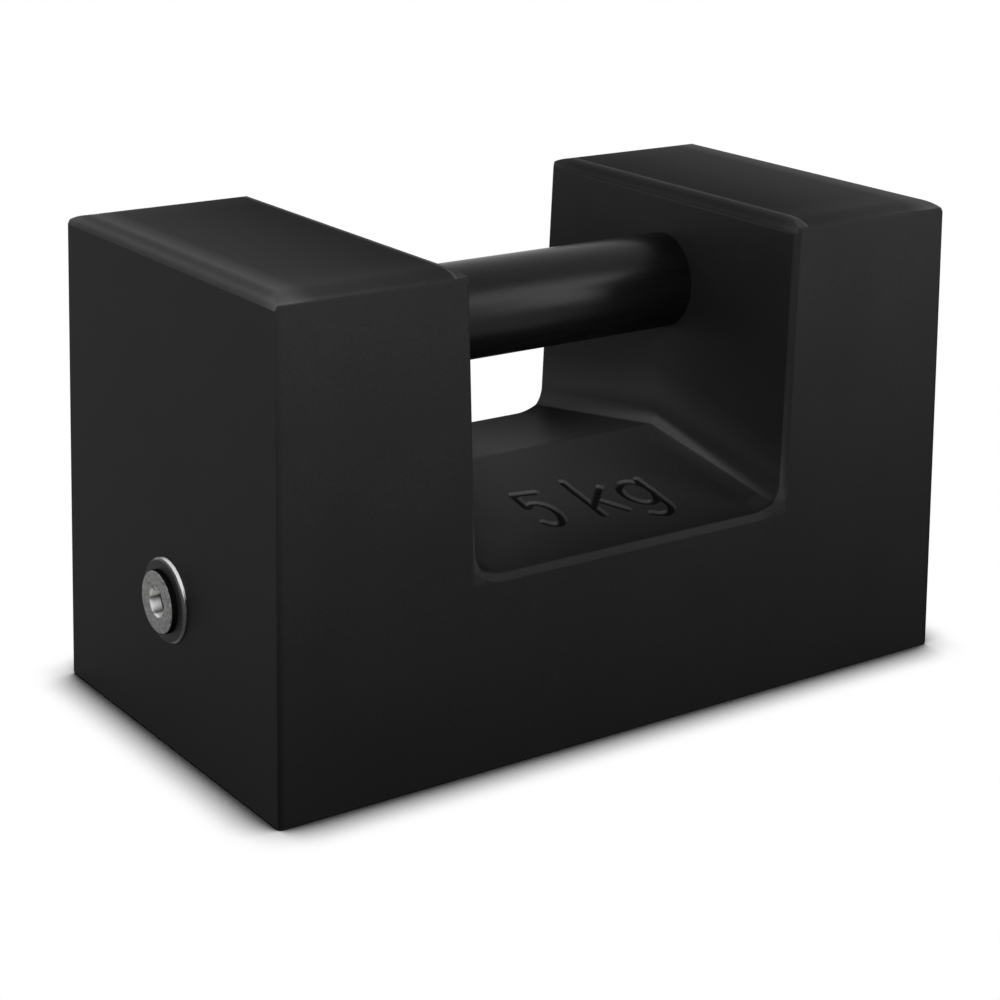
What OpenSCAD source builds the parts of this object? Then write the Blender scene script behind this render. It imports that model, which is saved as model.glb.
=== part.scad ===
// Rectangular bar calibration weight: an iron block with a recess across its top,
// a round grip cast into both posts and a screwed plug over the adjusting cavity.
// X runs along the block, away from the plug. Z is up. The origin is the centre of the base.

/* [Block] */
// Length of the block at its base
body_l = 144.4; // [132:0.2:180]
// Width of the block at its base
body_w = 77; // [66:0.2:100]
// Height of the block
body_h = 87.6; // [84:0.2:110]
// How far each outer face leans in from base to top
body_taper = 1.6; // [0.2:0.1:3]
// Width of the rounded strip along the top edge of each end
end_crown_w = 3; // [2.4:0.2:6]
// How far that strip has fallen where it meets the end face
end_crown_drop = 2; // [0.4:0.1:2]
// Width of the rounded strip along the front and back edges of the tops
side_crown_w = 5; // [2.4:0.2:9]
// How far that strip has fallen where it meets the front or back face
side_crown_drop = 1.4; // [0.4:0.1:2]
// Radius of the top edges beside the recess
grip_edge_r = 2.8; // [0.5:0.1:6]

/* [Recess] */
// Width of the recess at its foot, on the outer faces
recess_w = 66.6; // [60:0.2:76]
// Slope of each recess wall from upright, in degrees
recess_draft = 1.5; // [0.5:0.1:5]
// Height of the recess floor at the outer faces
floor_z = 34.6; // [30:0.2:37]
// Rise of the floor from the outer faces to its ridge
ridge_rise = 6.8; // [2:0.2:9]
// Radius of the hollow foot of each wall
foot_r = 6; // [3:0.1:8]
// Angle that the foot turns through at the mouths of the recess, in degrees
mouth_turn = 40; // [30:1:50]
// Angle that it turns through at the ridge, in degrees
ridge_turn = 30; // [20:1:50]
// Height above the floor at which it ends in a crease, at the mouths
crease_lift = 1.2; // [0.4:0.1:2]
// Width of the strip of floor that rises to the crease there
crease_reach = 5; // [3:0.2:8]
// Bevel round the mouth of the recess on both outer faces
mouth_bevel = 1; // [0.4:0.05:2]

/* [Handle] */
// Diameter of the grip bar
handle_d = 18; // [12:0.5:22]
// Drop from the top of the block to the grip bar's axis
handle_drop = 17.8; // [14:0.2:22]
// Length of bar held in each post
handle_seat = 16; // [8:1:24]
// Bevel on the ends of the bar
handle_bevel = 0.8; // [0.2:0.1:2]

/* [Plug] */
// Height of the plug's axis
plug_z = 27; // [18:0.2:28]
// Diameter of the plug's collar
collar_d = 11.2; // [10.4:0.1:14]
// Thickness of the collar
collar_t = 1.2; // [0.8:0.1:3]
// Bevel on the collar's outer edge
collar_bevel = 0.25; // [0.1:0.05:0.4]
// Diameter over the screw thread
thread_d = 8; // [6:0.5:9.5]
// Length of screw under the collar
thread_l = 10; // [6:0.5:12]
// Bevel on the screw's end
thread_bevel = 0.8; // [0.3:0.1:1.2]
// Width of the key socket across its flats
key_w = 4; // [3:0.5:4.5]
// Depth of the key socket
key_depth = 3.6; // [2:0.2:5]
// Width of the countersink round the key socket
key_sink = 0.25; // [0.1:0.05:0.5]

/* [Sealing ring] */
// Outer diameter of the ring
ring_d = 15.2; // [14.6:0.2:20]
// Thickness of the ring
ring_t = 1.3; // [0.8:0.1:3]
// Bevel on the ring's outer edge
ring_bevel = 0.3; // [0.1:0.05:0.35]
// Depth of the turned seat that the ring lies in
seat_depth = 0.5; // [0.2:0.1:1.5]

/* [Adjusting cavity] */
// Diameter of the cavity behind the screw thread
cavity_d = 7; // [5:0.5:7]
// Depth of the tapped stretch, from the end face
tapped_depth = 13; // [12:0.5:20]
// Depth of the cavity, from the end face
cavity_depth = 62; // [40:1:100]
// Angle of the drill point at the bottom
drill_point = 118; // [90:1:140]
// Diameter of one ball of adjusting lead
shot_d = 3; // [2:0.1:3.1]
// Pairs of balls that lie along the bottom of the cavity
shot_pairs = 11; // [2:1:11]

/* [Fits] */
// Room round the screw in its tapped hole
thread_room = 0.05; // [0.02:0.01:0.1]
// Room round the screw inside the sealing ring
ring_room = 0.15; // [0.05:0.05:0.2]
// Room round the sealing ring in its seat
seat_room = 0.2; // [0.1:0.05:0.5]
// Room between neighbouring balls of lead
shot_room = 0.06; // [0.02:0.02:0.2]

/* [Hidden] */
$fn = 96;
foot_steps = 8;
over = 1;

iron_black = [0.13, 0.13, 0.135];
bar_black = [0.09, 0.09, 0.095];
ring_black = [0.05, 0.05, 0.05];
zinc_grey = [0.62, 0.62, 0.61];
lead_grey = [0.42, 0.43, 0.46];

ridge_z = floor_z + ridge_rise;
handle_z = body_h - handle_drop;
plug_face_x = -end_x(plug_z);
ring_x = plug_face_x + seat_depth - ring_t;
collar_x = ring_x - collar_t;
screw_r = thread_d / 2;
cavity_r = cavity_d / 2;
socket_r = key_w / 2 / cos(30);
shot_r = shot_d / 2;
shot_pitch = shot_d + shot_room;

// Half the block's length, half its width and half the recess's width at a height
function end_x(z) = body_l / 2 - body_taper * z / body_h;
function face_y(z) = body_w / 2 - body_taper * z / body_h;
function wall_x(z) = recess_w / 2 + (z - floor_z) * tan(recess_draft);

// Radius of an arc that leaves a flat face smoothly and falls by drop over a width of w
function crown_r(w, drop) = (w * w + drop * drop) / (2 * drop);

// Takes off the top edge beside the recess on one side, -1 or 1, round the corner of wall and top
module grip_edge_round(side) {
    r = grip_edge_r;
    reach = r + over;
    centre_x = r * tan(recess_draft) - r / cos(recess_draft) - wall_x(body_h);
    mirror([side > 0 ? 1 : 0, 0, 0])
        translate([centre_x, body_w / 2 + over, body_h - r])
            rotate([90, 0, 0])
                linear_extrude(body_w + 2 * over)
                    difference() {
                        polygon([
                            [0, 0], [reach * cos(recess_draft), reach * sin(recess_draft)],
                            [reach, reach], [0, reach]
                        ]);
                        circle(r);
                    }
}

// Right half of the recess's outline across the block where its floor has the height foot, from the
// floor out to the top of the wall, grown outwards on all sides by grow. A strip of floor rises by lift
// to a crease, and the hollow foot of the wall turns through turn degrees from there.
function recess_half(foot, lift, turn, grow) =
    let (
        r = foot_r + grow,
        centre_z = foot + lift + foot_r * sin(turn),
        centre_x = wall_x(centre_z) - foot_r / cos(recess_draft),
        crease_x = centre_x + r * cos(turn),
        crease_z = centre_z - r * sin(turn),
        low_z = foot - grow,
        top_z = body_h + over,
        top_x = wall_x(top_z) + grow / cos(recess_draft)
    )
    concat(
        [for (i = [0 : foot_steps]) let (t = i / foot_steps)
            [crease_x - crease_reach * (1 - t), low_z + (crease_z - low_z) * t * t]],
        [for (i = [1 : foot_steps]) let (a = recess_draft + (turn - recess_draft) * (1 - i / foot_steps))
            [centre_x + r * cos(a), centre_z - r * sin(a)]],
        [[top_x, top_z]]
    );

// The recess and its bevelled mouths: the outline lofted from face to face over the ridge.
// Each station has its side of the block, 0 at the ridge, and how far it lies outside the face.
module recess_cut() {
    fall = ridge_rise / face_y(floor_z);
    stations = [[-1, over], [-1, -mouth_bevel], [0, 0], [1, -mouth_bevel], [1, over]];
    outlines = [for (s = stations)
        let (
            side = s[0],
            out = s[1],
            half = side == 0
                ? recess_half(ridge_z, 0, ridge_turn, 0)
                : recess_half(floor_z - out * fall, crease_lift, mouth_turn, out + mouth_bevel),
            points = len(half)
        )
        [for (i = [0 : 2 * points - 1])
            let (p = i < points ? half[points - 1 - i] : half[i - points])
            [i < points ? -p[0] : p[0], side * (face_y(p[1]) + out), p[1]]]
    ];
    count = len(outlines[0]);
    last = len(stations) - 1;
    polyhedron(
        points = [for (outline = outlines) each outline],
        faces = concat(
            [[for (j = [count - 1 : -1 : 0]) j]],
            [for (i = [0 : last - 1]) for (j = [0 : count - 1])
                let (k = (j + 1) % count)
                [i * count + j, i * count + k, (i + 1) * count + k, (i + 1) * count + j]],
            [[for (j = [0 : count - 1]) last * count + j]]
        )
    );
}

// Outline of the block seen along X or Y, with half its width at the base. Its sides lean in. At each
// top corner an arc leaves the top smoothly, w from the side, and meets the side in a line, drop lower.
module crowned_outline(base, w, drop) {
    r = crown_r(w, drop);
    top = base - body_taper;
    edge = base - body_taper * (body_h - drop) / body_h;
    difference() {
        polygon([[-base, 0], [base, 0], [top, body_h], [-top, body_h]]);
        for (side = [0, 1])
            mirror([side, 0])
                translate([edge - w, body_h - r])
                    difference() {
                        square([w + over, r + over]);
                        circle(r);
                    }
    }
}

// The block before it is cut
module blank() {
    side_l = body_l / 2;
    side_w = body_w / 2;
    intersection() {
        translate([0, side_w + over, 0]) rotate([90, 0, 0]) linear_extrude(body_w + 2 * over)
            crowned_outline(side_l, end_crown_w, end_crown_drop);
        translate([-side_l - over, 0, 0]) rotate([90, 0, 90]) linear_extrude(body_l + 2 * over)
            crowned_outline(side_w, side_crown_w, side_crown_drop);
    }
}

// Places its children on the plug's axis, with their Z running into the block
module on_plug_axis(x) {
    translate([x, 0, plug_z]) rotate([0, 90, 0]) children();
}

// The grip bar's own form, which the posts are cast round
module grip_bar() {
    half_l = wall_x(handle_z) + handle_seat;
    r = handle_d / 2;
    translate([-half_l, 0, handle_z]) rotate([0, 90, 0])
        rotate_extrude()
            polygon([
                [0, 0], [r - handle_bevel, 0], [r, handle_bevel],
                [r, 2 * half_l - handle_bevel], [r - handle_bevel, 2 * half_l], [0, 2 * half_l]
            ]);
}

// Turned seat, tapped stretch and drilled cavity, as one revolved cut
module cavity_cut() {
    tapped_r = screw_r + thread_room;
    seat_r = ring_d / 2 + seat_room;
    tip = cavity_r / tan(drill_point / 2);
    on_plug_axis(plug_face_x)
        rotate_extrude()
            polygon([
                [0, -over], [seat_r, -over], [seat_r, seat_depth],
                [tapped_r, seat_depth], [tapped_r, tapped_depth],
                [cavity_r, tapped_depth + tapped_r - cavity_r], [cavity_r, cavity_depth],
                [0, cavity_depth + tip]
            ]);
}

module body() {
    color(iron_black)
        difference() {
            blank();
            recess_cut();
            for (side = [-1, 1]) grip_edge_round(side);
            grip_bar();
            cavity_cut();
        }
}

module handle() {
    color(bar_black) grip_bar();
}

module sealing_ring() {
    bore_r = screw_r + ring_room;
    r = ring_d / 2;
    color(ring_black)
        on_plug_axis(ring_x)
            rotate_extrude()
                polygon([
                    [bore_r, 0], [r - ring_bevel, 0], [r, ring_bevel], [r, ring_t], [bore_r, ring_t]
                ]);
}

module adjusting_plug() {
    r = collar_d / 2;
    end = collar_t + thread_l;
    mouth_r = socket_r + key_sink;
    color(zinc_grey)
        on_plug_axis(collar_x)
            difference() {
                rotate_extrude()
                    polygon([
                        [0, 0], [r - collar_bevel, 0], [r, collar_bevel], [r, collar_t],
                        [screw_r, collar_t], [screw_r, end - thread_bevel],
                        [screw_r - thread_bevel, end], [0, end]
                    ]);
                translate([0, 0, -over]) cylinder(h = over + key_depth, r = socket_r, $fn = 6);
                translate([0, 0, -mouth_r]) cylinder(h = 2 * mouth_r, r1 = 2 * mouth_r, r2 = 0);
            }
}

// Balls lie in pairs along the bottom of the cavity, and one more sits on each four of them
module lead_shot() {
    wall_gap = cavity_r - shot_r - shot_room;
    pair_y = shot_pitch / 2;
    pair_z = -sqrt(wall_gap * wall_gap - pair_y * pair_y);
    upper_z = pair_z + sqrt(shot_pitch * shot_pitch - 2 * pair_y * pair_y);
    last_x = plug_face_x + cavity_depth - shot_r;
    color(lead_grey)
        for (i = [0 : shot_pairs - 1]) {
            x = last_x - i * shot_pitch;
            for (side = [-1, 1])
                translate([x, side * pair_y, plug_z + pair_z]) sphere(shot_r, $fn = 24);
            if (i < shot_pairs - 1)
                translate([x - shot_pitch / 2, 0, plug_z + upper_z]) sphere(shot_r, $fn = 24);
        }
}

body();
handle();
sealing_ring();
adjusting_plug();
lead_shot();
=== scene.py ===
import math

import bpy
import numpy as np
from mathutils import Matrix, Vector


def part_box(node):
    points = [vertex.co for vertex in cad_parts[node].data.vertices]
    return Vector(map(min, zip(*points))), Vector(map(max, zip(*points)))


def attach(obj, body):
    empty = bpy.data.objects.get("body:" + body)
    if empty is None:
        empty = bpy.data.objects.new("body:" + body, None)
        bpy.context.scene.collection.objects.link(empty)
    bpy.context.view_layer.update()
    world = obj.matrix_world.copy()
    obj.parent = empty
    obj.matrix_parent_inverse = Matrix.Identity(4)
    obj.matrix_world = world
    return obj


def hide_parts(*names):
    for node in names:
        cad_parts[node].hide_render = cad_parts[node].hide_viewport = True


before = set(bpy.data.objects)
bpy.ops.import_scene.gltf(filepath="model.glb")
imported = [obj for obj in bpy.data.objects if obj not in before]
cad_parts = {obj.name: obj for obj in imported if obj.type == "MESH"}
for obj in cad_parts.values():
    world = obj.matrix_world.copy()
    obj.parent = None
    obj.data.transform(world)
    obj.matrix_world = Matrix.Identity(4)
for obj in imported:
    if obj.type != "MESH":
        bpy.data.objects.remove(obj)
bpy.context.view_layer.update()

MM = 0.001

# The block is one grey iron casting under a black stoved lacquer. The mould gives the recess between
# its posts, the gabled floor and the sunk mark. The tops swell a little between crisp outer edges.
block_low, block_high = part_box("body")
height = block_high.z
taper = 1.6 * MM
base_r = 0.5 * MM
end_crown_w, end_crown_drop = 3 * MM, 2 * MM
side_crown_w, side_crown_drop = 5 * MM, 1.4 * MM
grip_r = 2.8 * MM
edge_r = 0.35 * MM
crown_edge_r = 0.25 * MM
recess_w = 66.6 * MM
draft = math.radians(1.5)
floor_z = 34.6 * MM
ridge_rise = 6.8 * MM
ridge_soft = 0.7 * MM
foot_r = 6 * MM
mouth_turn, ridge_turn = math.radians(40), math.radians(30)
crease_lift = 1.2 * MM
crease_reach = 5 * MM
bevel = 1 * MM
bevel_r = 0.3 * MM
lean = math.atan(taper / height)


def end_x(z):
    """Half the block's length at the height z."""
    return block_high.x - taper * z / height


def face_y(z):
    """Half the block's width at the height z."""
    return block_high.y - taper * z / height


def wall_x(z):
    """Half the width of the recess at the height z."""
    return recess_w / 2 + (z - floor_z) * math.tan(draft)


def floor_at(y):
    """Height of the recess floor at y, with the ridge a little rounded."""
    away = abs(y) if abs(y) > ridge_soft else (y * y / ridge_soft + ridge_soft) / 2
    return floor_z + ridge_rise * (1 - away / face_y(floor_z))


def eased(points, radii, steps=3):
    """An outline with each corner that has a radius turned into an arc."""
    out = []
    for i, r in enumerate(radii):
        p = np.array(points[i], float)
        if r == 0:
            out.append(p)
            continue
        back = np.array(points[i - 1], float) - p
        on = np.array(points[(i + 1) % len(points)], float) - p
        back, on = back / np.linalg.norm(back), on / np.linalg.norm(on)
        half = math.acos(np.clip(back @ on, -1, 1)) / 2
        centre = p + (back + on) / np.linalg.norm(back + on) * r / math.sin(half)
        start, stop = p + back * r / math.tan(half) - centre, p + on * r / math.tan(half) - centre
        turn = math.pi - 2 * half
        for s in np.linspace(0, 1, steps + 1):
            spoke = math.sin((1 - s) * turn) * start + math.sin(s * turn) * stop
            out.append(centre + spoke / math.sin(turn))
    return np.array(out)


def crown(w, drop, steps=12):
    """A crowned edge from its crisp line up to the flat top: rows of the distance inside the line and
    the depth below the top. With it come the radius of its arc and the arc's whole angle."""
    r = (w * w + drop * drop) / (2 * drop)
    turn = np.linspace(math.asin(w / r), 0, steps + 1)
    return np.stack([w - r * np.sin(turn), r * (1 - np.cos(turn))], axis=1), r, turn[0]


def half_section(foot, out, top, flare=0.0, inset=0.0):
    """Right half of a section across the block, as rows of x, z from the base corner to the floor. The
    floor has the height foot and lies out of the way from the ridge to the mouth, from 0 to 1. The posts
    end at the height top, the recess is flare larger all round and the outer edges are worn in by inset.
    The hollow foot of the wall ends in a crease, and a strip of floor falls from there."""
    quarter = math.pi / 2
    corner_x = end_x(base_r) - base_r / math.cos(lean)
    brow = height - grip_r
    brow_x = wall_x(brow) + grip_r / math.cos(draft)
    turn = ridge_turn + (mouth_turn - ridge_turn) * out
    hollow_z = foot + crease_lift * out + foot_r * math.sin(turn)
    hollow_x = wall_x(hollow_z) - foot_r / math.cos(draft)
    _, crown_r, crown_turn = crown(end_crown_w, end_crown_drop)
    crown_x, crown_z = end_x(height - end_crown_drop) - end_crown_w, height - crown_r
    cut_turn = math.acos(min((top - crown_z) / (crown_r - inset), 1))
    cut_brow = math.asin((top - brow) / grip_r)

    def arc(x, z, r, start, stop, steps):
        a = np.linspace(start, stop, steps + 1)
        return np.stack([x + r * np.cos(a), z + r * np.sin(a)], axis=1)

    hollow = arc(hollow_x, hollow_z, foot_r + flare, -draft, -turn, 14)
    crease_x, crease_z = hollow[-1]
    fall = np.linspace(1, 0, 9)[1:]
    strip = np.stack([
        crease_x - crease_reach * (1 - fall), foot - flare + (crease_z - foot + flare) * fall ** 2], axis=1)
    grip = arc(brow_x, brow, grip_r, 2 * quarter - cut_brow, 2 * quarter - draft, 14)
    grip[:, 0] = np.maximum(grip[:, 0], wall_x(grip[:, 1]) + flare / math.cos(draft))
    return np.vstack([
        arc(corner_x, base_r, base_r - inset, -quarter, lean, 4),
        arc(crown_x, crown_z, crown_r - inset, quarter - crown_turn, quarter - cut_turn, 10),
        grip,
        hollow,
        strip,
    ])


# The mark is the weight's number and unit, sunk into the front slope as single round strokes. Each
# stroke is a list of places in mm: along the block, and up the slope from the foot of the letters.
def bow(centre, size, start, stop, steps=14):
    """Points on part of an ellipse, from one angle to another in degrees."""
    a = np.radians(np.linspace(start, stop, steps + 1))
    return [(centre[0] + size[0] * math.cos(t), centre[1] + size[1] * math.sin(t)) for t in a]


strokes = [
    [(-5.6, 11.7), (-10.1, 12.4), (-10.4, 7.5)] + bow((-8.7, 4.2), (2.5, 4.1), 128, -145),
    [(1.5, 13.2), (1.2, 0.0)],
    [(6.8, 8.9), (1.4, 3.4)],
    [(3.3, 5.3), (6.6, -0.1)],
    bow((12.4, 4.6), (3.0, 4.1), 0, 360, 28),
    [(15.4, 8.9)] + bow((12.2, -0.9), (2.9, 3.0), 0, -140),
]
mark_foot = 27.2 * MM
stroke_half = 0.9 * MM
stroke_depth = 0.75 * MM
stroke_steepness = 1.25
stroke_roundness = 0.3
mark_margin = 1.8 * MM
mark_step = 0.16 * MM
slope = math.atan(ridge_rise / face_y(floor_z))


def groove_depth(x, up):
    """Depth of the mark at places along the block and up the slope: straight sides, a narrow bottom."""
    nearest = np.full(x.shape, 1e9)
    for stroke in strokes:
        for a, b in zip(stroke, stroke[1:]):
            a, b = np.array(a) * MM, np.array(b) * MM
            along = ((x - a[0]) * (b[0] - a[0]) + (up - a[1]) * (b[1] - a[1])) / ((b - a) @ (b - a))
            along = np.clip(along, 0, 1)
            gap = np.hypot(x - a[0] - along * (b[0] - a[0]), up - a[1] - along * (b[1] - a[1]))
            nearest = np.minimum(nearest, gap)
    inside = np.clip(stroke_steepness * (1 - nearest / stroke_half), 0, 1)
    return stroke_depth * inside * (1 - stroke_roundness * inside ** 2) / (1 - stroke_roundness)


sharp_turn = math.radians(20)


def mesh_piece(name, places, faces):
    """A smooth-shaded mesh object, with its hard edges kept sharp."""
    mesh = bpy.data.meshes.new(name)
    mesh.from_pydata([tuple(p) for p in places], [], faces)
    mesh.shade_smooth()
    mesh.set_sharp_from_angle(angle=sharp_turn)
    piece = bpy.data.objects.new(name, mesh)
    bpy.context.scene.collection.objects.link(piece)
    return piece


def block_mesh():
    """The casting as one skin, lofted from the front face to the back face, before it is bored."""
    mark_x = [p[0] * MM for stroke in strokes for p in stroke]
    mark_up = [p[1] * MM for stroke in strokes for p in stroke]
    left, right = min(mark_x) - mark_margin, max(mark_x) + mark_margin
    near = -(mark_foot - min(mark_up) + mark_margin) * math.cos(slope)
    far = -(mark_foot - max(mark_up) - mark_margin) * math.cos(slope)

    rows, _, _ = crown(side_crown_w, side_crown_drop)
    crisp_z = height - side_crown_drop
    rise = [(a - taper * (side_crown_drop - b) / height, height - b) for a, b in rows]
    tops = eased([(0, crisp_z - MM)] + rise, [0, crown_edge_r] + [0] * (len(rise) - 1), 5)[1:]
    worn = eased([(0, MM), (0, 0), (MM, 0)], [0, edge_r, 0], 6)[1:-1]
    mouth = eased([(0, 3 * bevel), (0, bevel), (bevel, 0), (3 * bevel, 0)], [0, bevel_r, bevel_r, 0])[1:-1]

    def ring(y, inside=None):
        """One ring of the loft: at y inside the block, or some way inside the front or back face."""
        if inside is None:
            half = half_section(floor_at(y), abs(y) / face_y(floor_z), height)
            floor = floor_at(y)
        else:
            flare = np.interp(inside, *mouth.T)
            foot = floor_at(face_y(floor_z) - inside)
            out = 1 - inside / face_y(floor_z)
            half = half_section(foot, out, np.interp(inside, *tops.T), flare, np.interp(inside, *worn.T))
            floor = foot - flare
        section = np.vstack([half, [(right, floor), (left, floor)], half[::-1] * [-1, 1]])
        if inside is None:
            return [(x, y, z) for x, z in section]
        return [(x, math.copysign(face_y(z) - inside, y), z) for x, z in section]

    stations = [0.0]
    least_step = 0.01 * MM
    for place in sorted(np.concatenate([tops[:, 0], worn[:, 0], mouth[:, 0]])):
        if place > stations[-1] + least_step:
            stations.append(place)
    stations.append(face_y(floor_z) + near)
    soft = [ridge_soft * s for s in (-1, -0.5, 0, 0.5, 1)]
    rings = [ring(-1, inside) for inside in stations]
    rings += [ring(y) for y in [far] + soft + [-far]]
    rings += [ring(1, inside) for inside in reversed(stations)]
    count = len(rings[0])
    places = [p for r in rings for p in r]

    def at(i, j):
        return i * count + j % count

    across = len(half_section(floor_z, 1, height))
    row = len(stations) - 1
    wide, deep = round((right - left) / mark_step), round((far - near) / mark_step)
    xs, ys = np.linspace(right, left, wide + 1), np.linspace(near, far, deep + 1)
    grid_x, grid_y = np.meshgrid(xs, ys, indexing="ij")
    grid_z = floor_z + ridge_rise * (1 + grid_y / face_y(floor_z))
    cut = groove_depth(grid_x, mark_foot + grid_y / math.cos(slope))
    corners = {
        (0, 0): at(row, across), (wide, 0): at(row, across + 1),
        (0, deep): at(row + 1, across), (wide, deep): at(row + 1, across + 1),
    }
    grid = np.zeros((wide + 1, deep + 1), int)
    for a in range(wide + 1):
        for b in range(deep + 1):
            if (a, b) in corners:
                grid[a, b] = corners[a, b]
                continue
            grid[a, b] = len(places)
            back, down = cut[a, b] * math.sin(slope), cut[a, b] * math.cos(slope)
            places.append((grid_x[a, b], grid_y[a, b] + back, grid_z[a, b] - down))

    between = {}
    for border in (grid[0], grid[-1], grid[:, 0], grid[:, -1]):
        line = border.tolist()
        between[line[0], line[-1]] = line[1:-1]
        between[line[-1], line[0]] = line[-2:0:-1]

    def stitched(face):
        return [v for a, b in zip(face, face[1:] + face[:1]) for v in [a] + between.get((a, b), [])]

    faces = [list(range(count)), [at(len(rings) - 1, j) for j in reversed(range(count))]]
    for i in range(len(rings) - 1):
        for j in range(count):
            if (i, j) != (row, across):
                faces.append(stitched([at(i, j), at(i + 1, j), at(i + 1, j + 1), at(i, j + 1)]))
    for a in range(wide):
        for b in range(deep):
            faces.append([int(v) for v in (grid[a, b], grid[a, b + 1], grid[a + 1, b + 1], grid[a + 1, b])])
    return places, faces


def lathe(profile, axis_z, around=96):
    """A turned form about an axis along X. Each step of the profile is x, a radius, or one for each place
    round the turn, and the share of a hexagon in its outline. The first and last step lie on the axis,
    unless the profile is a closed loop."""
    closed = profile[0][1] > 0
    turn = np.linspace(0, 2 * math.pi, around, endpoint=False)
    side = math.pi / 3
    hexagon = 1 / np.cos((turn + side / 2) % side - side / 2)
    places, rows = [], []
    for x, r, flats in profile:
        if np.ndim(r) == 0 and r == 0:
            rows.append([len(places)] * around)
            places.append((x, 0, axis_z))
            continue
        rows.append(list(range(len(places), len(places) + around)))
        reach = r * (1 + flats * (hexagon - 1))
        places += [(x, d * math.sin(t), axis_z + d * math.cos(t)) for d, t in zip(reach, turn)]
    faces = []
    for one, two in zip(rows, rows[1:] + rows[:1] if closed else rows[1:]):
        for k in range(around):
            n = (k + 1) % around
            face = [one[k], one[n], two[n], two[k]]
            faces.append([v for i, v in enumerate(face) if v != face[i - 1]])
    return places, faces


def turned(points, radii=None, flats=0):
    """Steps of a lathe profile from x, radius pairs, with its corners eased."""
    radii = radii or [0] * len(points)
    return [(x, r, flats) for x, r in eased(points, radii)]


handle_low, handle_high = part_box("handle")
handle_z = (handle_low.z + handle_high.z) / 2
handle_r = (handle_high.y - handle_low.y) / 2
handle_bevel = 0.8 * MM
ring_low, ring_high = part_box("sealing_ring")
ring_r = (ring_high.y - ring_low.y) / 2
plug_z = (ring_low.z + ring_high.z) / 2
seat_room = 0.2 * MM
tapped_r = 4.05 * MM
cavity_r = 3.5 * MM
tapped_depth = 13 * MM
cavity_depth = 62 * MM
drill_point = math.radians(118)
drill_tip = cavity_r / math.tan(drill_point / 2)
end_face = -end_x(plug_z)
seat_x = ring_high.x
overrun = 2 * MM


def bar_profile(ease):
    """The grip bar from its low end to its high end, with the edges of its bevels eased."""
    a, b, r, c = handle_low.x, handle_high.x, handle_r, handle_bevel
    points = [(a, 0), (a, r - c), (a + c, r), (b - c, r), (b, r - c), (b, 0)]
    return turned(points, [0, ease, ease, ease, ease, 0])


def bore(block, places, faces):
    """Cuts a form out of the block."""
    tool = mesh_piece("tool", places, faces)
    cut = block.modifiers.new("bore", "BOOLEAN")
    cut.object, cut.operation, cut.solver = tool, "DIFFERENCE", "EXACT"
    whole = bpy.data.meshes.new_from_object(block.evaluated_get(bpy.context.evaluated_depsgraph_get()))
    block.modifiers.clear()
    block.data = whole
    bpy.data.objects.remove(tool)


block = mesh_piece("block", *block_mesh())
bore(block, *lathe(bar_profile(0), handle_z))
bore(block, *lathe(turned([
    (end_face - overrun, 0), (end_face - overrun, ring_r + seat_room),
    (seat_x, ring_r + seat_room), (seat_x, tapped_r),
    (end_face + tapped_depth, tapped_r), (end_face + tapped_depth + tapped_r - cavity_r, cavity_r),
    (end_face + cavity_depth, cavity_r), (end_face + cavity_depth + drill_tip, 0)]), plug_z))
block.data.shade_smooth()
block.data.set_sharp_from_angle(angle=sharp_turn)
level = block.modifiers.new("flat faces", "WEIGHTED_NORMAL")
level.keep_sharp = True
level.weight = 90


class Wire:
    """One socket of a shader node. Arithmetic on it adds Math nodes, and node() adds any other."""

    def __init__(self, tree, socket=None):
        self.tree = tree
        self.socket = socket

    def node(self, kind, settings, sockets, out=0):
        """Any node: its settings are set first, then the values or links of its sockets."""
        new = self.tree.nodes.new(kind)
        for key, value in settings.items():
            setattr(new, key, value)
        for key, value in sockets.items():
            if isinstance(value, Wire):
                self.tree.links.new(value.socket, new.inputs[key])
            else:
                new.inputs[key].default_value = value
        return Wire(self.tree, new.outputs[out] if new.outputs else None)

    def math(self, operation, a, b=0.0):
        return self.node("ShaderNodeMath", {"operation": operation}, {0: a, 1: b})

    def __add__(self, other):
        return self.math("ADD", self, other)

    def __sub__(self, other):
        return self.math("SUBTRACT", self, other)

    def __rsub__(self, other):
        return self.math("SUBTRACT", other, self)

    def __mul__(self, other):
        return self.math("MULTIPLY", self, other)

    def __truediv__(self, other):
        return self.math("DIVIDE", self, other)

    def __rtruediv__(self, other):
        return self.math("DIVIDE", other, self)

    def __pow__(self, other):
        return self.math("POWER", self, other)

    def __rpow__(self, other):
        return self.math("POWER", other, self)

    __radd__ = __add__
    __rmul__ = __mul__

    def spread(self, low, high, to_low=0.0, to_high=1.0):
        """This value's range low to high stretched to another range, and held there."""
        return self.node("ShaderNodeMapRange", {"clamp": True}, {
            0: self, 1: low, 2: high, 3: to_low, 4: to_high})

    def past(self, edge, blur):
        """0 below the edge, rising to 1 over the blur."""
        return self.spread(edge, edge + blur)

    def under(self, edge, blur):
        """1 below the edge, falling to 0 over the blur."""
        return self.spread(edge, edge + blur, 1, 0)

    def axes(self):
        """The x, y and z of this vector."""
        first = self.node("ShaderNodeSeparateXYZ", {}, {0: self})
        return [Wire(self.tree, socket) for socket in first.socket.node.outputs]

    def noise(self, scale, detail=3, roughness=0.5):
        """Noise over the object's own places, here the tree's Object coordinates. Scale is per metre."""
        return self.node("ShaderNodeTexNoise", {}, {
            "Vector": self, "Scale": scale, "Detail": detail, "Roughness": roughness})

    def blend(self, first, second):
        """Colour first where this value is 0, and second where it is 1."""
        return self.node("ShaderNodeMix", {"data_type": "RGBA"}, {0: self, 6: first, 7: second}, out=2)


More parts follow.
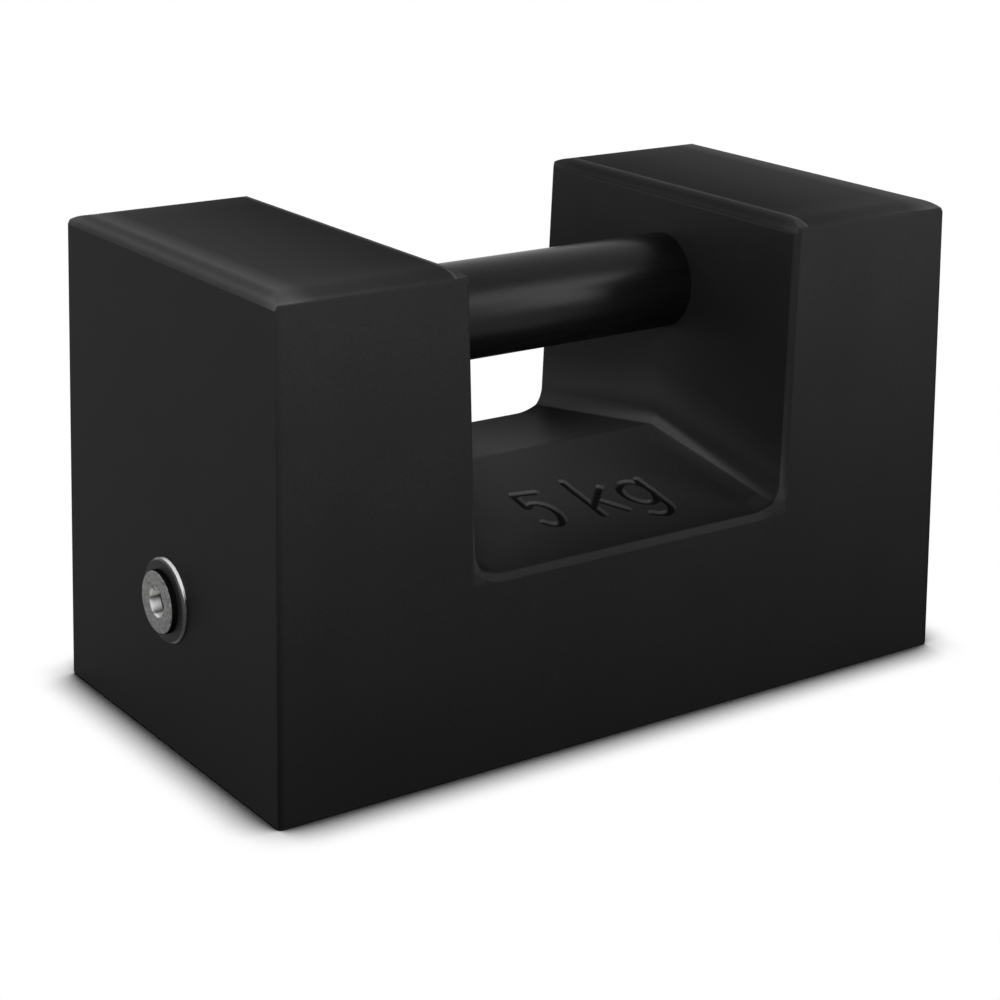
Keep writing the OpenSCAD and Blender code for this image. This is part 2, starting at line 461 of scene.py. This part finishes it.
def new_finish(name, **fixed):
    """A Principled material: its tree, its shader node and its Object coordinates. Fixed values are
    set on the shader's own sockets."""
    material = bpy.data.materials.new(name)
    material.use_nodes = True
    tree = material.node_tree
    shader = tree.nodes["Principled BSDF"]
    for key, value in fixed.items():
        shader.inputs[key.replace("_", " ")].default_value = value
    places = Wire(tree).node("ShaderNodeTexCoord", {}, {}, out=3)
    return material, shader, places


def feed(shader, **links):
    """Links what varies over the surface to the shader's sockets."""
    for key, wire in links.items():
        wire.tree.links.new(wire.socket, shader.inputs[key.replace("_", " ")])


def bumped(height_wire, distance, strength=1.0):
    """A normal that follows a height, with the distance of its full rise."""
    return height_wire.node("ShaderNodeBump", {}, {
        "Strength": strength, "Distance": distance, "Height": height_wire})


def dress(piece, material, slot_name, *nodes):
    """Gives a piece its material, its body and the CAD nodes it stands for. The slot name is not used."""
    piece.data.materials.clear()
    piece.data.materials.append(material)
    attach(piece, "root")
    if nodes:
        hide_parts(*nodes)


# The stoved lacquer is thin and satin, with a fine grain, and its tone wanders a little at random. Its
# gloss changes slowly from face to face. Its colour carries painted highlights on the rounded edges,
# along the edges of the tops, at the foot of the recess walls and on the floor by the ridge. It carries
# painted shade low down, on the recess walls, on the back slope and in the mark. Each mask below is 1
# at the place that it is named after and 0 elsewhere.
lacquer, shader, places = new_finish(
    "black_lacquer", Specular_IOR_Level=0.0, Coat_IOR=1.15, Coat_Roughness=0.45)
x, y, z = places.axes()
facing_x, facing_y, _ = places.node("ShaderNodeTexCoord", {}, {}, out=1).axes()
across, aside = x.math("ABSOLUTE", x), y.math("ABSOLUTE", y)
high = z / height
end_gap = end_x(0) - across - high * taper
side_gap = face_y(0) - aside - high * taper
outward = aside / face_y(floor_z)
above_floor = z - floor_at(0) + outward * ridge_rise
grain = places.noise(2600, 4, 0.6)
cloud = places.noise(60, 3)
peel = places.noise(900, 2)

skin, blur, face_blur = 0.1 * MM, 0.3 * MM, 0.8 * MM
crisp_z = height - end_crown_drop
foot_x = wall_x(floor_z) - 1.5 * MM
brow_x = wall_x(height) + grip_r
in_recess = across.under(wall_x(height) - MM, MM) * z.past(floor_z - MM, MM)
side = side_gap.under(skin + blur, face_blur) * (1 - in_recess)
end = end_gap.under(skin + blur, face_blur)
top = z.past(crisp_z - skin, skin) * side_gap.past(skin, blur)
rim = end_gap.past(0, 30 * MM) * 0.7 + side_gap.past(0, 12 * MM) * 0.3
crowned = top * side_gap.spread(blur, side_crown_w, 1, 0)
end_glow = top * end_gap.spread(0, end_crown_w, 0.7, 1) * end_gap.under(end_crown_w, 1.5 * end_crown_w)
brow = across.under(brow_x, blur) * z.past(height - 0.9 * grip_r, 0.3 * grip_r) * side_gap.past(blur, blur)
brow_line = brow * across.past(brow_x - 0.5 * MM, blur)
lip = in_recess * side_gap.under(0.8 * bevel, 0.3 * bevel)
wall = in_recess * above_floor.past(2 * foot_r, 3 * foot_r)
climb = in_recess * above_floor.past(0.4 * foot_r, 0.6 * foot_r)
climb = climb * above_floor.under(1.1 * foot_r, 0.9 * foot_r)
foot = in_recess * across.past(foot_x, 0.5 * MM) * above_floor.under(0, 1.5 * foot_r)
floor = in_recess * above_floor.under(crease_lift, crease_lift)
back_slope = floor * y.past(-0.2 * MM, 0.4 * MM) * (1 - foot)

# How much painted light the lacquer's colour carries at each place, a painted highlight above 0 and
# painted shade below 0, and how much glossier the lacquer is there
painted_light_places = [
    # painted shade low down on the front, back and ends, painted light high on the front and back
    (side, high.spread(0, 0.9, -0.4, 0.25), 0),
    (end, high.spread(0, 0.9, -0.5, -0.12), 0),
    # painted highlights along the outer edges of the tops, on their crowns, at the grip edges and on the
    # mouth bevel, painted shade in the middle of the tops
    (top, rim.spread(0, 1, 0.3, -0.5), rim.spread(0, 1, -0.04, -0.35)),
    (crowned, 0.6, 0.2),
    (end_glow, 1.2, 0.3),
    (brow, 0.7, 0.4),
    (brow_line, 1.0, 0),
    (lip, 0.8, 0),
    # painted shade on the recess walls, painted highlights at their foot
    (wall, -0.3, -0.45),
    (climb, 0.5, 0.35),
    (foot, 0.25, 0.1),
    # painted light on the floor by the ridge, painted shade towards the mouths and on the back slope
    (floor, outward.spread(0, 1, 2.2, -0.4), -0.15),
    (back_slope, -0.3, across.spread(0, wall_x(floor_z), -0.12, -0.32)),
]
tone_and_painted_light, gloss = 1, 0.6
for place, painted_light, glossier in painted_light_places:
    tone_and_painted_light = tone_and_painted_light * (1 + place * painted_light)
    gloss = gloss + place * glossier

# In the mark, painted highlights lie on the upper edges that face the front left, and painted shade on
# the bottom of the strokes and on the sides that face away from it
on_slope = floor * y.under(-mark_margin, mark_margin) * side_gap.past(1.3 * bevel, 0.5 * bevel)
sunk = (0 - above_floor) / stroke_depth
to_left = facing_x * -0.8 - (facing_y + math.sin(slope)) * 0.6
tone_and_painted_light = tone_and_painted_light * (1 + on_slope * sunk.spread(0.45, 0.6, 1, 0) * to_left.spread(0.05, 0.35, 0, 1.1))
tone_and_painted_light = tone_and_painted_light * (1 - on_slope * sunk.spread(0.4, 0.75, 0, 0.7))
tone_and_painted_light = tone_and_painted_light * (1 - on_slope * to_left.spread(-0.35, -0.05, 0.65, 0))
gloss = gloss * (1 - on_slope * sunk.spread(0.1, 0.5, 0, 0.8))
tone_and_painted_light = tone_and_painted_light * cloud.spread(0.35, 0.65, 0.19, 0.21) * grain.spread(0.3, 0.7, 0.85, 1.15)
feed(
    shader,
    Base_Color=tone_and_painted_light.blend((0, 0, 0, 1), (0.07, 0.07, 0.0715, 1)),
    Roughness=grain.spread(0.3, 0.7, 0.56, 0.64),
    Coat_Weight=gloss,
    Normal=bumped(grain * 0.5 + peel, 0.02 * MM, 0.6),
)
dress(block, lacquer, "body", "body")

# The grip is a drawn steel bar. Its ends are bevelled and sit in the posts, which were cast round it,
# and the stretch that shows has the same black lacquer, but smoother, because the bar is drawn.
bar_ease = 0.2 * MM
bar_around = 144
bar = mesh_piece("grip_bar", *lathe(bar_profile(bar_ease), handle_z, bar_around))
bar_lacquer, shader, places = new_finish("bar_lacquer", IOR=1.5, Specular_IOR_Level=0.13)
streaks = places.node("ShaderNodeMapping", {}, {"Vector": places, "Scale": (0.06, 1, 1)}).noise(1500, 3)
fine = places.noise(3000, 3)
feed(
    shader,
    Base_Color=streaks.spread(0.3, 0.7).blend((0.004, 0.004, 0.0042, 1), (0.007, 0.007, 0.0072, 1)),
    Roughness=fine.spread(0.3, 0.7, 0.27, 0.33),
    Normal=bumped(fine + streaks, 0.01 * MM, 0.5),
)
dress(bar, bar_lacquer, "handle", "handle")

# A black fibre-filled rubber ring seals the cavity. It lies half in a shallow turned seat and is
# pressed there by the plug's collar. A painted highlight lies on the front of its upper rim.
ring_bore = 4.15 * MM
ring_bevel = 0.5 * MM
ring_ease = 0.3 * MM
washer = mesh_piece("seal", *lathe(turned(
    [(ring_low.x, ring_bore), (ring_high.x, ring_bore), (ring_high.x, ring_r),
     (ring_low.x + ring_bevel, ring_r), (ring_low.x, ring_r - ring_bevel)],
    [0, 0, ring_ease, ring_ease, ring_ease]), plug_z))
rubber, shader, places = new_finish("seal_rubber", IOR=1.5, Specular_IOR_Level=0.1, Coat_Roughness=0.15)
fibre = places.noise(2200, 5, 0.7)
ring_x, ring_y, ring_z = places.axes()
ring_radius = (ring_y ** 2 + (ring_z - plug_z) ** 2) ** 0.5
# a painted highlight: the front of the upper rim is coloured near white
rim_highlight_turn = math.radians(30)
towards = (ring_z - plug_z) * math.cos(rim_highlight_turn) - ring_y * math.sin(rim_highlight_turn)
rim_highlight = towards.spread(0.74 * ring_r, 0.93 * ring_r) * ring_radius.past(ring_r - 0.2 * MM, 0.12 * MM)
rubber_black = fibre.spread(0.35, 0.7).blend((0.005, 0.005, 0.005, 1), (0.022, 0.022, 0.022, 1))
feed(
    shader,
    Base_Color=rim_highlight.blend(rubber_black, (0.9, 0.9, 0.9, 1)),
    Roughness=fibre.spread(0.3, 0.7, 0.45, 0.6),
    Coat_Weight=ring_radius.past(ring_r - ring_bevel, 0.4 * ring_bevel),
    Normal=bumped(fibre, 0.05 * MM, 0.7),
)
dress(washer, rubber, "sealing_ring", "sealing_ring")

# The plug is turned and zinc plated steel: a low collar with a hexagon key socket on a threaded screw.
# The collar's side is coloured black. The socket is bare steel, and its near-white colour is a painted
# sheen.
plug_low, plug_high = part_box("adjusting_plug")
collar_r = (plug_high.z - plug_low.z) / 2
collar_bevel = 0.25 * MM
collar_back = ring_low.x
screw_r = 4 * MM
thread_cut = 0.6 * MM
thread_pitch = 1.25 * MM
thread_steps = 8
screw_bevel = 0.8 * MM
screw_around = 96
key_w = 4 * MM
key_r = key_w / 2 / math.cos(math.pi / 6)
key_sink = 0.25 * MM
key_depth = 3.6 * MM
key_tip = 0.9 * MM
key_ease = 0.1 * MM
key_floor_share = 0.97
sink_depth = 0.15 * MM
sink_reach = 0.6 * MM
sink_flats_share = 0.8
flat_reach = 1 * MM
collar_ease = 0.08 * MM
thread_gap = 0.2 * MM
face_x = plug_low.x


def screw_thread(start, stop):
    """Steps of a screw with a helical groove, which runs out at both ends."""
    turn = np.linspace(0, 1, screw_around, endpoint=False)
    steps = []
    for x in np.arange(start, stop, thread_pitch / thread_steps):
        depth = 1 - np.abs(2 * (((x - start) / thread_pitch - turn) % 1) - 1)
        run_out = min(1, (x - start) / thread_pitch, (stop - x) / thread_pitch)
        steps.append((x, screw_r - thread_cut * run_out * depth, 0))
    return steps


socket = [
    (face_x + key_depth + key_tip, 0, 0), (face_x + key_depth, key_r * key_floor_share, 1),
    (face_x + key_depth - key_ease, key_r, 1), (face_x + sink_depth, key_r, 1),
    (face_x, key_r + key_sink, sink_flats_share), (face_x, key_r + sink_reach, 0)]
collar = turned(
    [(face_x, key_r + flat_reach), (face_x, collar_r - collar_bevel), (face_x + collar_bevel, collar_r),
     (collar_back, collar_r), (collar_back, screw_r)],
    [0, collar_ease, collar_ease, collar_ease, 0])
tail_x = plug_high.x - screw_bevel
plug = mesh_piece("plug", *lathe(
    socket + collar + screw_thread(collar_back + thread_gap, tail_x)
    + [(tail_x, screw_r, 0), (plug_high.x, screw_r - screw_bevel, 0), (plug_high.x, 0, 0)],
    plug_z, screw_around))
zinc, shader, places = new_finish("zinc_plate", Specular_IOR_Level=0.0)
speckle = places.noise(1900, 3, 0.7)
blotch = places.noise(900, 3)
plug_x, plug_y, plug_up = places.axes()
plug_radius = (plug_y ** 2 + (plug_up - plug_z) ** 2) ** 0.5
# the socket is coloured near white, a painted sheen on its bare steel
inside = plug_radius.under(key_r, 1.6 * key_sink)
behind = plug_x.past(face_x + collar_bevel * 0.4, collar_bevel * 0.4)
# the collar's side is coloured black
black_side = behind * plug_radius.past(collar_r - 0.15 * MM, 0.05 * MM)
mottle = (speckle * 0.8 + blotch * 0.2).spread(0.38, 0.62)
plating = mottle.blend((0.05, 0.05, 0.05, 1), (0.22, 0.22, 0.215, 1))
plating_and_painted_sheen = inside.blend(plating, (0.92, 0.92, 0.91, 1))
feed(
    shader,
    Base_Color=black_side.blend(plating_and_painted_sheen, (0.004, 0.004, 0.004, 1)),
    Metallic=1 - black_side - inside,
    Roughness=speckle.spread(0.3, 0.7, 0.35, 0.55) - inside * 0.2,
    Normal=bumped(speckle, 0.05 * MM, 0.8),
)
dress(plug, zinc, "adjusting_plug", "adjusting_plug")

# The adjusting metal is cast lead shot, poured into the cavity until the weight is right. It lies loose
# behind the plug and is dull with its own oxide.
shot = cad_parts["lead_shot"]
lead, shader, places = new_finish("dull_lead", Metallic=0.85)
oxide = places.noise(1800, 4, 0.6)
feed(
    shader,
    Base_Color=oxide.spread(0.35, 0.65).blend((0.12, 0.125, 0.14, 1), (0.26, 0.265, 0.28, 1)),
    Roughness=oxide.spread(0.3, 0.7, 0.5, 0.75),
    Normal=bumped(oxide, 0.05 * MM, 0.5),
)
shot.data.materials.clear()
shot.data.materials.append(lead)

# The table is a wide sheet of white. Seen directly or mirrored it is as bright as the room, apart from
# the block's shadow; for the light that it throws back on the block it is a dark grey.
table_half = 2.0
shadow_reach = 10 * MM
shade_reach = 0.2
table = mesh_piece("table", [
    (-table_half, -table_half, 0), (table_half, -table_half, 0),
    (table_half, table_half, 0), (-table_half, table_half, 0)], [(0, 1, 2, 3)])
sheet = bpy.data.materials.new("white_sheet")
sheet.use_nodes = True
sheet.node_tree.nodes.clear()
wires = Wire(sheet.node_tree)
seen = wires.node("ShaderNodeLightPath", {}, {}, out=0)
mirrored = wires.node("ShaderNodeLightPath", {}, {}, out=3)
through = wires.node("ShaderNodeLightPath", {}, {}, out=6)
close = wires.node("ShaderNodeAmbientOcclusion", {"samples": 16}, {"Distance": shadow_reach}, out=1)
wide = wires.node("ShaderNodeAmbientOcclusion", {"samples": 4}, {"Distance": shade_reach}, out=1)
white = wires.node("ShaderNodeEmission", {}, {"Color": close.spread(0.52, 0.95, 0.0, 1.0)})
image = wires.node("ShaderNodeEmission", {}, {"Color": wide})
grey = wires.node("ShaderNodeBsdfDiffuse", {}, {"Color": (0.1, 0.1, 0.1, 1)})
for_mirror = wires.node("ShaderNodeMixShader", {}, {0: mirrored + through, 1: grey, 2: image})
surface = wires.node("ShaderNodeMixShader", {}, {0: seen, 1: for_mirror, 2: white})
wires.node("ShaderNodeOutputMaterial", {}, {"Surface": surface})
table.data.materials.append(sheet)

# The room is plain white where it shows or is mirrored. It gives matt surfaces no light, which is left
# to the lamps.
world = bpy.data.worlds.new("room")
bpy.context.scene.world = world
world.use_nodes = True
world.node_tree.nodes.clear()
wires = Wire(world.node_tree)
seen = wires.node("ShaderNodeLightPath", {}, {}, out=0)
mirrored = wires.node("ShaderNodeLightPath", {}, {}, out=3)
through = wires.node("ShaderNodeLightPath", {}, {}, out=6)
glow = wires.node("ShaderNodeBackground", {}, {"Color": (1, 1, 1, 1), "Strength": seen + mirrored + through})
wires.node("ShaderNodeOutputWorld", {}, {"Surface": glow})


# Soft lamps: each is a square sheet of light, aimed at the block's middle or a little towards the
# lamp's own side. They stand all round it, near in front and at the right, and one far off behind.
def soft_lamp(name, place, size, watts, aside=0.0):
    """The place and size are in mm, from the middle of the base. Aside is the share of the lamp's way
    out from the middle at which it is aimed."""
    light = bpy.data.lights.new(name, "AREA")
    light.shape = "SQUARE"
    light.size = size * MM
    light.energy = watts
    lamp = bpy.data.objects.new(name, light)
    lamp.location = Vector(place) * MM
    aim = Vector((aside * lamp.location.x, aside * lamp.location.y, height / 2))
    lamp.rotation_euler = (lamp.location - aim).to_track_quat("Z", "Y").to_euler()
    lamp.visible_camera = False
    bpy.context.scene.collection.objects.link(lamp)


soft_lamp("over_front_left", (-100, -140, 170), 80, 0.178, 0.3)
soft_lamp("over_front_right", (100, -140, 170), 80, 0.071, 0.3)
soft_lamp("over_right", (200, -140, 170), 80, 0.084, 0.3)
soft_lamp("front_right_far", (200, -220, 170), 80, 0.028, 0.3)
soft_lamp("over_back_left", (-130, 200, 200), 80, 0.11)
soft_lamp("low_front_left", (-194, -194, 102), 100, 0.232)
soft_lamp("low_front_right", (194, -194, 102), 100, 0.225)
soft_lamp("low_left", (-274, 0, 102), 100, 0.03)
soft_lamp("low_back", (36, 290, 32), 64, 0.42)
soft_lamp("low_right", (340, 30, 32), 64, 0.3)
soft_lamp("far_back_left", (-557, 557, 183), 350, 0.45)

# The camera stands where the photograph was taken from: in front of the plug end, a little above.
camera_data = bpy.data.cameras.new("camera")
focal_share = 2.3377
camera_data.sensor_width = 36
camera_data.lens = focal_share * camera_data.sensor_width
camera_data.shift_y = -0.115
camera_data.clip_start = 0.01
camera = bpy.data.objects.new("camera", camera_data)
camera_azimuth = math.radians(-35.129)
camera_height = math.radians(16.136)
camera_roll = math.radians(0.821)
camera.location = Vector((-239.9, -336.8, 173.7)) * MM
back = Vector((
    math.sin(camera_azimuth) * math.cos(camera_height), -math.cos(camera_azimuth) * math.cos(camera_height),
    math.sin(camera_height)))
roll = Matrix.Rotation(camera_roll, 3, "Z").to_quaternion()
camera.rotation_mode = "QUATERNION"
camera.rotation_quaternion = back.to_track_quat("Z", "Y") @ roll
bpy.context.scene.collection.objects.link(camera)
bpy.context.scene.camera = camera
bpy.context.scene.view_settings.view_transform = "Standard"
